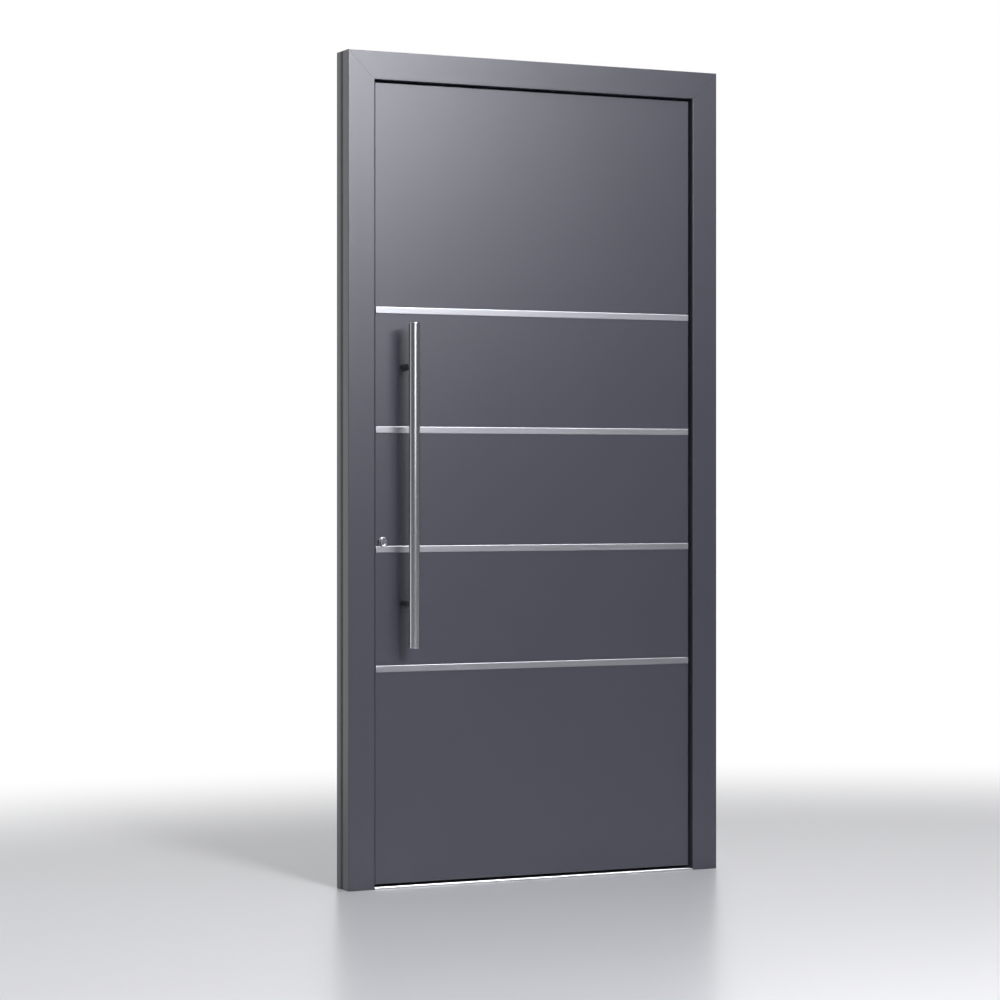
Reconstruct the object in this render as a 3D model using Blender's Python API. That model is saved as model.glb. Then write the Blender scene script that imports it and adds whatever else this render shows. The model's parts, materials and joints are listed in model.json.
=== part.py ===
# Entry door: an aluminium frame with a flush leaf that opens inwards.
# Metres, +Z up. X runs to the right seen from outside, +Y runs into the building.
# The origin is at the middle of the sill's underside, at the middle of the frame's depth.

import bpy
import bmesh
from math import asin, acos, cos, pi, radians, sin, sqrt
from mathutils import Matrix, Vector

# Clearances
FIT = 0.0003               # between pieces that touch on the real door
LEAF_GAP = 0.007           # between the leaf's edges and the frame
SEAL_GAP = 0.005           # between the frame's stop and the leaf's flange
SWEEP_GAP = 0.0051         # under the bottom seal
RUNNING_GAP = 0.0003       # round a pin or a plug

# Frame
FRAME_WIDTH = 1.200
FRAME_HEIGHT = 2.405
FRAME_DEPTH = 0.090
FACE_WIDTH = 0.0815        # face seen from outside
REBATE_WIDTH = 0.056       # frame beside the leaf's flange
STOP_DEPTH = 0.042         # outer profile
BREAK_DEPTH = 0.018        # thermal break
ARRIS = 0.001              # chamfer on the long edges
GROOVE_WIDTH = 0.008
GROOVE_DEPTH = 0.006
GROOVE_INSET = 0.0075      # from the stop's edge to the groove
SILL_HEIGHT = 0.0045

# Leaf
LEAF_RECESS = 0.0155       # from the frame's outer face to the leaf's
LEAF_FOOT = 0.0135         # height of the leaf's underside
SKIN = 0.003
STILE_WIDTH = 0.070
LEAF_ARRIS = 0.0008

# Strips across the leaf
STRIP_COUNT = 4
STRIP_HEIGHT = 0.019
STRIP_THICKNESS = 0.003
STRIP_INSET = 0.0015       # from the leaf's edges
STRIP_BELOW_LOCK = 0.021   # from the cylinder down to the second strip's middle
STRIP_PITCH = 0.344
STRIP_ARRIS = 0.0014

# Lock
LOCK_BACKSET = 0.0485      # from the flange's edge to the cylinder
LOCK_HEIGHT = 0.996
LEVER_RISE = 0.092         # lever above the cylinder
RING_RADIUS = 0.014
RING_DEPTH = 0.006
PLUG_RADIUS = 0.008
PLUG_SET_BACK = 0.0005     # plug's face behind the ring's
EDGE_ARRIS = 0.0006
FACEPLATE_LENGTH = 0.240
FACEPLATE_WIDTH = 0.020
FACEPLATE_THICKNESS = 0.003
FACEPLATE_BACK = 0.007     # from the leaf's inner face to the faceplate
BOLT_WIDTH = 0.014
BOLT_LENGTH = 0.022
LATCH_HEIGHT = 0.034
DEADBOLT_HEIGHT = 0.040
STRIKE_DEPTH = 0.022
STRIKE_FLOOR = 0.003
WINDOW_MARGIN = 0.001      # strike's windows round the bolts
BOLT_CLEAR = 0.0006        # leaf's edge in front of the drawn bolts

# Pull bar
BAR_RADIUS = 0.016
BAR_LENGTH = 0.931
BAR_ABOVE_LOCK = 0.163     # from the cylinder up to the bar's middle
BAR_IN = 0.1145            # from the flange's edge to the bar's axis
BAR_REACH = 0.078          # from the leaf's face to the bar's axis
BAR_ARRIS = 0.0012
POST_RADIUS = 0.011
POST_INSET = 0.125         # from the bar's ends to the posts

# Inside furniture
ROSETTE_RADIUS = 0.026
ROSETTE_DEPTH = 0.008
LEVER_RADIUS = 0.0095
LEVER_REACH = 0.048        # from the rosette's face to the lever's axis
LEVER_LENGTH = 0.125
LEVER_BEND = 0.016
TURN_RADIUS = 0.0085
TURN_DEPTH = 0.014
TURN_WING = 0.036
TURN_WING_THICKNESS = 0.007
TURN_WING_DEPTH = 0.014

# Bottom seal
BOTTOM_SEAL_WIDTH = 0.010
BOTTOM_SEAL_SEAT = 0.006   # depth of its groove in the bottom rail
BOTTOM_SEAL_Y = 0.012

# Hinges
HINGE_COUNT = 3
HINGE_FOOT = 0.250         # height of the lowest hinge
HINGE_HEAD = 0.212         # from the top of the leaf's flange down to the highest hinge
HINGE_CLEAR = 0.005        # from the frame's inner face to the barrel
BARREL_RADIUS = 0.011
KNUCKLE_LENGTH = 0.045
KNUCKLE_GAP = 0.0006
PIN_RADIUS = 0.006
PIN_CAP = 0.005            # barrel left above the pin
FLAG_THICKNESS = 0.008
FLAG_REACH = 0.049         # from the axis to the flag's end
FLAG_START = 0.0045        # from the axis to the flag's near edge

# Worked out from the sizes above
HALF_WIDTH = FRAME_WIDTH / 2
FRONT = -FRAME_DEPTH / 2
BACK = FRAME_DEPTH / 2
STOP_BACK = FRONT + STOP_DEPTH
BREAK_BACK = STOP_BACK + BREAK_DEPTH
LEAF_FRONT = FRONT + LEAF_RECESS
LEAF_BACK = BACK
FLANGE_FRONT = STOP_BACK + SEAL_GAP
LEAF_HALF = HALF_WIDTH - FACE_WIDTH - LEAF_GAP
LEAF_TOP = FRAME_HEIGHT - FACE_WIDTH - LEAF_GAP
FLANGE_HALF = HALF_WIDTH - REBATE_WIDTH - LEAF_GAP
FLANGE_TOP = FRAME_HEIGHT - REBATE_WIDTH - LEAF_GAP
FLANGE_STEP = FLANGE_HALF - LEAF_HALF
LOCK_X = -FLANGE_HALF + LOCK_BACKSET
LEVER_HEIGHT = LOCK_HEIGHT + LEVER_RISE
STRIP_LOWEST = LOCK_HEIGHT - STRIP_BELOW_LOCK - STRIP_PITCH
BAR_HEIGHT = LOCK_HEIGHT + BAR_ABOVE_LOCK
BAR_X = -FLANGE_HALF + BAR_IN
BAR_Y = LEAF_FRONT - BAR_REACH
HINGE_X = HALF_WIDTH - REBATE_WIDTH - LEAF_GAP / 2
HINGE_Y = BACK + HINGE_CLEAR + BARREL_RADIUS
HINGE_PITCH = (FLANGE_TOP - HINGE_HEAD - HINGE_FOOT) / (HINGE_COUNT - 1)
FACEPLATE_Y = LEAF_BACK - FACEPLATE_BACK - FACEPLATE_WIDTH / 2
FACEPLATE_HEIGHT = (LOCK_HEIGHT + LEVER_HEIGHT) / 2
MITRE_SHIFT = FIT / sqrt(2)

ROUND = 48                 # sides of a round piece
BARREL_TURNS = 40          # sides of a hinge's barrel
BEND_TURNS = 8             # sides of the lever's bend
LEVER_ROUND = 6            # rings in a quarter of the lever's section
SHARP = radians(30)        # edges that stay sharp on a round piece
SOFT = radians(40)         # edges that get an arris
MARK_SIZE = 0.05           # of an axis's mark


# Materials

def material(name, color, roughness, metallic):
    made = bpy.data.materials.new(name)
    made.use_nodes = True
    shader = made.node_tree.nodes["Principled BSDF"]
    shader.inputs["Base Color"].default_value = (*color, 1.0)
    shader.inputs["Roughness"].default_value = roughness
    shader.inputs["Metallic"].default_value = metallic
    made.diffuse_color = (*color, 1.0)
    return made


def make_materials():
    return {
        "frame_paint": material("frame_paint", (0.080, 0.081, 0.095), 0.42, 0.0),
        "leaf_paint": material("leaf_paint", (0.077, 0.078, 0.092), 0.40, 0.0),
        "steel": material("steel", (0.62, 0.61, 0.59), 0.28, 1.0),
        "post_black": material("post_black", (0.015, 0.015, 0.017), 0.45, 0.0),
        "sill_metal": material("sill_metal", (0.74, 0.74, 0.73), 0.32, 1.0),
        "plastic": material("plastic", (0.020, 0.020, 0.022), 0.60, 0.0),
        "foam": material("foam", (0.65, 0.60, 0.45), 0.90, 0.0),
        "seal": material("seal", (0.012, 0.012, 0.012), 0.75, 0.0),
    }


# Placing

def empty(name, location):
    made = bpy.data.objects.new(name, None)
    made.location = location
    made.empty_display_size = MARK_SIZE
    bpy.context.collection.objects.link(made)
    return made


def put(name, data, carrier, at):
    made = bpy.data.objects.new(name, data)
    bpy.context.collection.objects.link(made)
    made.location = Vector(at)
    if carrier is not None:
        made.parent = carrier
        made.location -= carrier.location
    return made


def place(name, data, look, carrier=None, at=(0, 0, 0)):
    """A solid piece."""
    data.materials.clear()
    data.materials.append(look)
    return put(name, data, carrier, at)


def hidden(name, data, carrier=None, at=(0, 0, 0)):
    """A shape that only cuts or joins another."""
    made = put(name, data, carrier, at)
    made.hide_render = True
    made.display_type = "WIRE"
    return made


def combine(target, tool, operation):
    step = target.modifiers.new(tool.name, "BOOLEAN")
    step.operation = operation
    step.solver = "EXACT"
    step.object = tool


def soften(target, width, segments=1):
    step = target.modifiers.new("edges", "BEVEL")
    step.width = width
    step.segments = segments
    step.limit_method = "ANGLE"
    step.angle_limit = SOFT


# Shapes

def mesh_from(name, shape):
    bmesh.ops.recalc_face_normals(shape, faces=shape.faces)
    data = bpy.data.meshes.new(name)
    shape.to_mesh(data)
    shape.free()
    return data


def loft(name, near, far):
    """A solid between two outlines that have the same number of points."""
    shape = bmesh.new()
    first = [shape.verts.new(point) for point in near]
    last = [shape.verts.new(point) for point in far]
    shape.faces.new(first)
    shape.faces.new(last)
    count = len(first)
    for i in range(count):
        j = (i + 1) % count
        shape.faces.new((first[i], first[j], last[j], last[i]))
    return mesh_from(name, shape)


def standing(name, outline, foot, top):
    """An upright solid on a level outline."""
    return loft(name, [(x, y, foot) for x, y in outline], [(x, y, top) for x, y in outline])


def block(name, low, high):
    x0, y0, z0 = low
    x1, y1, z1 = high
    return standing(name, ((x0, y0), (x1, y0), (x1, y1), (x0, y1)), z0, z1)


def cylinder(name, radius, start, end, along, sides=ROUND):
    """A round bar centred on its own origin's axis, from start to end along Y or Z."""
    shape = bmesh.new()
    bmesh.ops.create_cone(
        shape, cap_ends=True, segments=sides, radius1=radius, radius2=radius, depth=end - start)
    turn = Matrix.Identity(3)
    middle = Vector((0, 0, (start + end) / 2))
    if along == "Y":
        turn = Matrix.Rotation(-pi / 2, 3, "X")
        middle = Vector((0, (start + end) / 2, 0))
    bmesh.ops.rotate(shape, verts=shape.verts, matrix=turn)
    bmesh.ops.translate(shape, verts=shape.verts, vec=middle)
    data = mesh_from(name, shape)
    data.shade_smooth()
    data.set_sharp_from_angle(angle=SHARP)
    return data


def side_bar(name, section, side, outline):
    """A bar along one side of an outline, mitred where it meets the next bar.

    The section's points are (distance in from the outline, y). The upright bars
    have a square foot.
    """
    left, right, foot, top = outline
    if side == "left":
        near = [(left + u, y, foot) for u, y in section]
        far = [(left + u, y, top - u - MITRE_SHIFT) for u, y in section]
    elif side == "right":
        near = [(right - u, y, foot) for u, y in section]
        far = [(right - u, y, top - u - MITRE_SHIFT) for u, y in section]
    else:
        near = [(left + u + MITRE_SHIFT, y, top - u) for u, y in section]
        far = [(right - u - MITRE_SHIFT, y, top - u) for u, y in section]
    return loft(name, near, far)


# Frame

def frame_bars(looks):
    outline = (-HALF_WIDTH, HALF_WIDTH, 0, FRAME_HEIGHT)
    groove_in = FACE_WIDTH - GROOVE_INSET
    groove_out = groove_in - GROOVE_WIDTH
    groove_y = STOP_BACK - GROOVE_DEPTH
    outer = (
        (0, FRONT + ARRIS), (ARRIS, FRONT), (FACE_WIDTH - ARRIS, FRONT), (FACE_WIDTH, FRONT + ARRIS),
        (FACE_WIDTH, STOP_BACK), (groove_in, STOP_BACK), (groove_in, groove_y),
        (groove_out, groove_y), (groove_out, STOP_BACK), (0, STOP_BACK),
    )
    seal = (
        (groove_out + FIT, groove_y + FIT), (groove_in - FIT, groove_y + FIT),
        (groove_in - FIT, STOP_BACK), (groove_out + FIT, STOP_BACK),
    )
    middle = (
        (0, STOP_BACK + FIT), (REBATE_WIDTH, STOP_BACK + FIT),
        (REBATE_WIDTH, BREAK_BACK), (0, BREAK_BACK),
    )
    inner = (
        (0, BREAK_BACK + FIT), (REBATE_WIDTH, BREAK_BACK + FIT), (REBATE_WIDTH, BACK - ARRIS),
        (REBATE_WIDTH - ARRIS, BACK), (ARRIS, BACK), (0, BACK - ARRIS),
    )
    made = {}
    for part, side in (("lock_jamb", "left"), ("hinge_jamb", "right"), ("head", "top")):
        for layer, section, look in (
            ("outer", outer, "frame_paint"), ("break", middle, "plastic"), ("inner", inner, "frame_paint"),
        ):
            name = f"{part}_{layer}"
            made[name] = place(name, side_bar(name, section, side, outline), looks[look])
        name = f"{part}_seal"
        made[name] = place(name, side_bar(name, seal, side, outline), looks["seal"])
    return made


def sill(looks):
    front_half = HALF_WIDTH - FACE_WIDTH - FIT
    back_half = HALF_WIDTH - REBATE_WIDTH - FIT
    rails = (
        ("sill_front", front_half, FRONT, STOP_BACK, "sill_metal"),
        ("sill_core", back_half, STOP_BACK + FIT, BREAK_BACK, "plastic"),
        ("sill_rear", back_half, BREAK_BACK + FIT, BACK, "sill_metal"),
    )
    for name, half, near, far, look in rails:
        place(name, block(name, (-half, near, 0), (half, far, SILL_HEIGHT)), looks[look])


def strike(looks, jamb):
    """A box with two pockets, let into the lock jamb beside the faceplate."""
    face = -HALF_WIDTH + REBATE_WIDTH
    half = FACEPLATE_WIDTH / 2
    low = Vector((face - STRIKE_DEPTH, FACEPLATE_Y - half, FACEPLATE_HEIGHT - FACEPLATE_LENGTH / 2))
    high = Vector((face, FACEPLATE_Y + half, FACEPLATE_HEIGHT + FACEPLATE_LENGTH / 2))
    around = Vector((FIT, FIT, FIT))
    recess = hidden("strike_recess", block("strike_recess", low - around, high + around))
    combine(jamb, recess, "DIFFERENCE")
    box = place("strike_box", block("strike_box", low, high), looks["steel"])
    for name, height, middle in bolts():
        depth = BOLT_WIDTH / 2 + WINDOW_MARGIN
        rise = height / 2 + WINDOW_MARGIN
        pocket = block(
            f"{name}_pocket",
            (face - STRIKE_DEPTH + STRIKE_FLOOR, FACEPLATE_Y - depth, middle - rise),
            (face + STRIKE_FLOOR, FACEPLATE_Y + depth, middle + rise))
        combine(box, hidden(f"{name}_pocket", pocket), "DIFFERENCE")


def bolts():
    return (
        ("latch_bolt", LATCH_HEIGHT, LEVER_HEIGHT),
        ("dead_bolt", DEADBOLT_HEIGHT, LOCK_HEIGHT),
    )


# Leaf

def leaf_body(looks, axis):
    outline = (-FLANGE_HALF, FLANGE_HALF, LEAF_FOOT, FLANGE_TOP)
    near = LEAF_FRONT + SKIN + FIT
    far = LEAF_BACK - SKIN - FIT
    section = (
        (0, FLANGE_FRONT), (FLANGE_STEP, FLANGE_FRONT), (FLANGE_STEP, near),
        (STILE_WIDTH, near), (STILE_WIDTH, far), (0, far),
    )
    made = {}
    for name, side in (("lock_stile", "left"), ("hinge_stile", "right"), ("top_rail", "top")):
        made[name] = place(name, side_bar(name, section, side, outline), looks["leaf_paint"], axis)

    inside = FLANGE_HALF - STILE_WIDTH - FIT
    rail_top = LEAF_FOOT + STILE_WIDTH
    rail = block("bottom_rail", (-inside, near, LEAF_FOOT), (inside, far, rail_top))
    made["bottom_rail"] = place("bottom_rail", rail, looks["leaf_paint"], axis)
    core = block(
        "leaf_core", (-inside, near, rail_top + FIT), (inside, far, FLANGE_TOP - STILE_WIDTH - FIT))
    place("leaf_core", core, looks["foam"], axis)

    sheet = block("outer_skin", (-LEAF_HALF, LEAF_FRONT, LEAF_FOOT), (LEAF_HALF, LEAF_FRONT + SKIN, LEAF_TOP))
    outer = place("outer_skin", sheet, looks["leaf_paint"], axis)
    soften(outer, LEAF_ARRIS)
    sheet = block(
        "inner_skin", (-FLANGE_HALF, LEAF_BACK - SKIN, LEAF_FOOT), (FLANGE_HALF, LEAF_BACK, FLANGE_TOP))
    inner = place("inner_skin", sheet, looks["leaf_paint"], axis)
    soften(inner, LEAF_ARRIS)
    return made


def bottom_seal(looks, axis, bars):
    """A strip in a groove under the leaf, from edge to edge, clear of the sill."""
    half = BOTTOM_SEAL_WIDTH / 2
    low = SILL_HEIGHT + SWEEP_GAP
    high = LEAF_FOOT + BOTTOM_SEAL_SEAT
    groove = hidden("bottom_seal_groove", block(
        "bottom_seal_groove",
        (-HALF_WIDTH, BOTTOM_SEAL_Y - half - FIT, low),
        (HALF_WIDTH, BOTTOM_SEAL_Y + half + FIT, high + FIT)), axis)
    for bar in bars:
        combine(bar, groove, "DIFFERENCE")
    strip = block(
        "bottom_seal", (-FLANGE_HALF, BOTTOM_SEAL_Y - half, low), (FLANGE_HALF, BOTTOM_SEAL_Y + half, high))
    place("bottom_seal", strip, looks["seal"], axis)


def strips(looks, axis):
    half = LEAF_HALF - STRIP_INSET
    back = LEAF_FRONT - FIT
    rise = STRIP_HEIGHT / 2
    made = []
    for i in range(STRIP_COUNT):
        name = f"strip_{i + 1}"
        data = block(name, (-half, back - STRIP_THICKNESS, -rise), (half, back, rise))
        strip = place(name, data, looks["steel"], axis, (0, 0, STRIP_LOWEST + i * STRIP_PITCH))
        soften(strip, STRIP_ARRIS, 2)
        made.append(strip)
    return made


def lock_outside(looks, axis, leaf_strips):
    """The cylinder's ring, its turning plug, and the notch for the ring in a strip."""
    back = LEAF_FRONT - FIT
    front = back - RING_DEPTH
    at = (LOCK_X, 0, LOCK_HEIGHT)
    notch = hidden(
        "ring_notch", cylinder("ring_notch", RING_RADIUS + FIT, front, LEAF_FRONT, "Y"), axis, at)
    for strip in leaf_strips:
        middle = strip.location.z + axis.location.z
        if abs(middle - LOCK_HEIGHT) < RING_RADIUS + FIT + STRIP_HEIGHT / 2:
            combine(strip, notch, "DIFFERENCE")

    collar = cylinder("cylinder_ring", RING_RADIUS, front, back, "Y")
    ring = place("cylinder_ring", collar, looks["steel"], axis, at)
    bore = cylinder("ring_bore", PLUG_RADIUS + RUNNING_GAP, front - RING_DEPTH, LEAF_FRONT, "Y")
    combine(ring, hidden("ring_bore", bore, axis, at), "DIFFERENCE")
    soften(ring, EDGE_ARRIS)

    plug_axis = empty("plug_axis", (LOCK_X, LEAF_FRONT, LOCK_HEIGHT))
    plug_axis.location -= axis.location
    plug_axis.parent = axis
    plug = cylinder("key_plug", PLUG_RADIUS, front + PLUG_SET_BACK, back, "Y")
    made = place("key_plug", plug, looks["steel"])
    made.parent = plug_axis
    made.location = (0, -LEAF_FRONT, 0)
    soften(made, EDGE_ARRIS / 2)


def lock_edge(looks, axis, stile):
    """The faceplate with its two bolts, drawn back flush, let into the lock stile's edge."""
    edge = -FLANGE_HALF
    half = FACEPLATE_WIDTH / 2
    low = Vector((edge, FACEPLATE_Y - half, FACEPLATE_HEIGHT - FACEPLATE_LENGTH / 2))
    high = Vector((edge + FACEPLATE_THICKNESS, FACEPLATE_Y + half, FACEPLATE_HEIGHT + FACEPLATE_LENGTH / 2))
    around = Vector((FIT, FIT, FIT))
    recess = hidden("faceplate_recess", block("faceplate_recess", low - around, high + around), axis)
    combine(stile, recess, "DIFFERENCE")
    plate = place("lock_faceplate", block("lock_faceplate", low, high), looks["steel"], axis)
    in_front = Vector((BOLT_CLEAR, FIT, FIT))
    for name, height, middle in bolts():
        bolt_low = Vector((edge + FIT, FACEPLATE_Y - BOLT_WIDTH / 2, middle - height / 2))
        bolt_high = Vector((edge + BOLT_LENGTH, FACEPLATE_Y + BOLT_WIDTH / 2, middle + height / 2))
        room = hidden(f"{name}_room", block(f"{name}_room", bolt_low - in_front, bolt_high + around), axis)
        combine(stile, room, "DIFFERENCE")
        combine(plate, room, "DIFFERENCE")
        place(name, block(name, bolt_low, bolt_high), looks["steel"], axis)


def pull_bar(looks, axis):
    half = BAR_LENGTH / 2
    data = cylinder("pull_bar", BAR_RADIUS, -half, half, "Z")
    bar = place("pull_bar", data, looks["steel"], axis, (BAR_X, BAR_Y, BAR_HEIGHT))
    soften(bar, BAR_ARRIS, 2)
    for name, sign in (("upper_post", 1), ("lower_post", -1)):
        at = (BAR_X, 0, BAR_HEIGHT + sign * (half - POST_INSET))
        rod = cylinder(name, POST_RADIUS, BAR_Y, LEAF_FRONT - FIT, "Y")
        post = place(name, rod, looks["post_black"], axis, at)
        reach = POST_RADIUS * 2
        saddle = cylinder(f"{name}_saddle", BAR_RADIUS + FIT, -reach, reach, "Z")
        combine(post, hidden(f"{name}_saddle", saddle, axis, (BAR_X, BAR_Y, at[2])), "DIFFERENCE")


def inside_furniture(looks, axis):
    seat = LEAF_BACK + FIT
    face = seat + ROSETTE_DEPTH
    for name, height in (("lever_rosette", LEVER_HEIGHT), ("turn_rosette", LOCK_HEIGHT)):
        rosette = place(
            name, cylinder(name, ROSETTE_RADIUS, seat, face, "Y"), looks["steel"], axis, (LOCK_X, 0, height))
        soften(rosette, EDGE_ARRIS)

    lever(looks, axis, face + FIT)

    turn = place(
        "thumb_turn", cylinder("thumb_turn", TURN_RADIUS, face + FIT, face + FIT + TURN_DEPTH, "Y"),
        looks["steel"], axis, (LOCK_X, 0, LOCK_HEIGHT))
    wing_near = face + TURN_DEPTH
    wing = block(
        "turn_wing", (-TURN_WING_THICKNESS / 2, wing_near, -TURN_WING / 2),
        (TURN_WING_THICKNESS / 2, wing_near + TURN_WING_DEPTH, TURN_WING / 2))
    combine(turn, hidden("turn_wing", wing, axis, (LOCK_X, 0, LOCK_HEIGHT)), "UNION")


def lever(looks, axis, start):
    """A round bar out of the rosette, bent to run along the leaf towards its middle."""
    far = start + LEVER_REACH
    points = [(0, start), (0, (start + far - LEVER_BEND) / 2)]
    for i in range(BEND_TURNS + 1):
        angle = pi / 2 * i / BEND_TURNS
        points.append((LEVER_BEND * (1 - cos(angle)), far - LEVER_BEND + LEVER_BEND * sin(angle)))
    points.append((LEVER_LENGTH, far))
    curve = bpy.data.curves.new("lever_handle", "CURVE")
    curve.dimensions = "3D"
    curve.bevel_depth = LEVER_RADIUS
    curve.bevel_resolution = LEVER_ROUND
    curve.use_fill_caps = True
    spline = curve.splines.new("POLY")
    spline.points.add(len(points) - 1)
    for point, (x, y) in zip(spline.points, points):
        point.co = Vector((x, y, 0)).to_4d()
    place("lever_handle", curve, looks["steel"], axis, (LOCK_X, 0, LEVER_HEIGHT))


# Hinges

def flag_outline(sign):
    """Barrel with a flat flag, round the axis at (0, 0); sign is +1 to the right."""
    low = -(HINGE_CLEAR + BARREL_RADIUS) + FIT
    high = low + FLAG_THICKNESS
    first = asin(high / BARREL_RADIUS)
    last = 2 * pi - acos(FLAG_START / BARREL_RADIUS)
    points = [(FLAG_START, low), (FLAG_REACH, low), (FLAG_REACH, high)]
    for i in range(BARREL_TURNS + 1):
        angle = first + (last - first) * i / BARREL_TURNS
        points.append((BARREL_RADIUS * cos(angle), BARREL_RADIUS * sin(angle)))
    return [(sign * x, y) for x, y in points]


def hinges(looks, axis):
    split = KNUCKLE_GAP / 2
    pin_foot = -KNUCKLE_LENGTH / 2
    pin_top = KNUCKLE_LENGTH - PIN_CAP - FIT
    for i in range(HINGE_COUNT):
        name = f"hinge_{i + 1}"
        at = (HINGE_X, HINGE_Y, HINGE_FOOT + i * HINGE_PITCH)

        lower = standing(f"{name}_frame", flag_outline(1), -KNUCKLE_LENGTH, -split)
        fixed = place(f"{name}_frame", lower, looks["steel"], None, at)
        pin = cylinder(f"{name}_pin", PIN_RADIUS, pin_foot, pin_top, "Z")
        combine(fixed, hidden(f"{name}_pin", pin, None, at), "UNION")

        upper = standing(f"{name}_leaf", flag_outline(-1), split, KNUCKLE_LENGTH)
        moving = place(f"{name}_leaf", upper, looks["steel"], axis, at)
        bore = cylinder(f"{name}_bore", PIN_RADIUS + RUNNING_GAP, pin_foot, pin_top + FIT, "Z")
        combine(moving, hidden(f"{name}_bore", bore, axis, at), "DIFFERENCE")


# Door

def clear_scene():
    for made in list(bpy.data.objects):
        bpy.data.objects.remove(made, do_unlink=True)


def main():
    clear_scene()
    looks = make_materials()
    bars = frame_bars(looks)
    sill(looks)
    strike(looks, bars["lock_jamb_inner"])

    axis = empty("leaf_axis", (HINGE_X, HINGE_Y, 0))
    body = leaf_body(looks, axis)
    bottom_seal(looks, axis, (body["bottom_rail"], body["lock_stile"], body["hinge_stile"]))
    leaf_strips = strips(looks, axis)
    lock_outside(looks, axis, leaf_strips)
    lock_edge(looks, axis, body["lock_stile"])
    pull_bar(looks, axis)
    inside_furniture(looks, axis)
    hinges(looks, axis)


main()
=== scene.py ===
# Entry door: finishes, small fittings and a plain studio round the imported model.

import json
from math import cos, pi, radians, sin

import bmesh
import bpy
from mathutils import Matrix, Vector

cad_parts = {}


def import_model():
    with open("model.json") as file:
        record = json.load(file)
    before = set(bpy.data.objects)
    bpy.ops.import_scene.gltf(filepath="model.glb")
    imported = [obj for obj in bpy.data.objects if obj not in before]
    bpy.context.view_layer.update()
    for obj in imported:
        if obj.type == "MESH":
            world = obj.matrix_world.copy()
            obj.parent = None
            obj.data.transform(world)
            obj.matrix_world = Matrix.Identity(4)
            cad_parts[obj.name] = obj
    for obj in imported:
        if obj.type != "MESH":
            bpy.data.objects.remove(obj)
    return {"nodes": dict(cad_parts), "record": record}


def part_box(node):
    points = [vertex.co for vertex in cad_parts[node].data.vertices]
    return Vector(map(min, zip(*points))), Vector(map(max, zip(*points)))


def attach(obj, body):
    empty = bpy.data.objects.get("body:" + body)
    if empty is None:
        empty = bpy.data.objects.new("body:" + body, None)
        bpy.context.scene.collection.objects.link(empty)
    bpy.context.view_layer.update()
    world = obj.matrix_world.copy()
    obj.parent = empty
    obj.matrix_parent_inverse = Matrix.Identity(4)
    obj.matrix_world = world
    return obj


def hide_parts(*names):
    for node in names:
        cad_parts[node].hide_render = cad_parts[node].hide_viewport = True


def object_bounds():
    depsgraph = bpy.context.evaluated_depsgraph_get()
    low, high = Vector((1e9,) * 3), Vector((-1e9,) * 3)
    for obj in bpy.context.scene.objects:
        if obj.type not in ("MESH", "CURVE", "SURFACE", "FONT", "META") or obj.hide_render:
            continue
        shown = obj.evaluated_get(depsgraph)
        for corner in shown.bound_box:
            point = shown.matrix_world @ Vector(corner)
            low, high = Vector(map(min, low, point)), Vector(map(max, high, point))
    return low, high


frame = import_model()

CAD_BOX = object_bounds()
NODES = frame["nodes"]

# Camera, solved from the door's own edges: metres, degrees and millimetres
CAMERA_PLACE = (-3.788, -7.891, 1.169)
CAMERA_TURN = 25.04
CAMERA_LENS = 106.68
CAMERA_SENSOR = 36
CAMERA_SHIFT = -0.0181

# Lights: azimuth towards +X from straight in front, and elevation, in degrees
AIM = Vector((0.0, 0.0, 1.2))
LAMP_DISTANCE = 6.0        # of the key and the panel
KEY_AZIMUTH = -1.5
KEY_ELEVATION = 19.4
KEY_SIZE = 1.5
KEY_POWER = 245.0
PANEL_AZIMUTH = 3.2
PANEL_ELEVATION = 24.4
PANEL_WIDTH = 3.3
PANEL_HEIGHT = 2.0
PANEL_POWER = 480.0
TOP_PLACE = Vector((0.8, -1.2, 6.0))
TOP_WIDTH = 5.0
TOP_DEPTH = 4.0
TOP_POWER = 1050.0
TALL_PLACE = Vector((-0.42, -6.1, 2.15))
TALL_WIDTH = 3.0
TALL_HEIGHT = 1.7
TALL_POWER = 17.0
BOUNCE_GAP = 0.05
BOUNCE_WIDTH = 1.6
BOUNCE_DEPTH = 0.5
BOUNCE_POWER = 1.9

# Room: its light, and where white starts and ends fading in behind the door in polished surfaces
ROOM_LIGHT = 0.30
ROOM_GLOSS = 0.12          # what polished surfaces see of it
ROOM_BEHIND = (-0.10, 0.60)

# Floor: where it starts and ends fading to white, round a point in front of the door
FLOOR_RADIUS = 40
FLOOR_DROP = 0.0005
FLOOR_ROUGHNESS = 0.30
FLOOR_MIDDLE = (0.0, -2.5, 0.0)
FLOOR_FADE = (3.6, 6.0)
FLOOR_BEHIND = (0.0, 2.0)

# Colours, linear
PAINT = (0.0410, 0.0425, 0.0570)
STEEL = (0.335, 0.342, 0.356)
BAR_STEEL = (0.79, 0.80, 0.82)
SILL_METAL = (0.62, 0.62, 0.63)
BLACK_COAT = (0.042, 0.042, 0.045)
RUBBER = (0.010, 0.010, 0.011)
PLASTIC = (0.018, 0.018, 0.020)
FOAM = (0.60, 0.54, 0.38)
FLOOR = (0.88, 0.875, 0.885)
LIGHT = (0.95, 0.953, 1.0)
ROOM = (0.93, 0.95, 1.0)
WHITE = (1.0, 1.0, 1.0)

# Meshes
SHARP = radians(25)
CREASE = radians(40)       # edges that stay creased once the rest are rounded
FLAT = radians(0.5)
MERGE = 0.00001
HAIR = 0.0003              # between pieces that touch
CUT_MARGIN = 0.001
SIDES = 96                 # of a turned piece
SMALL_SIDES = 64
CAP_SIDES = 40
NOISE_REACH = (0.3, 0.7)   # where most of a noise lies

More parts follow.
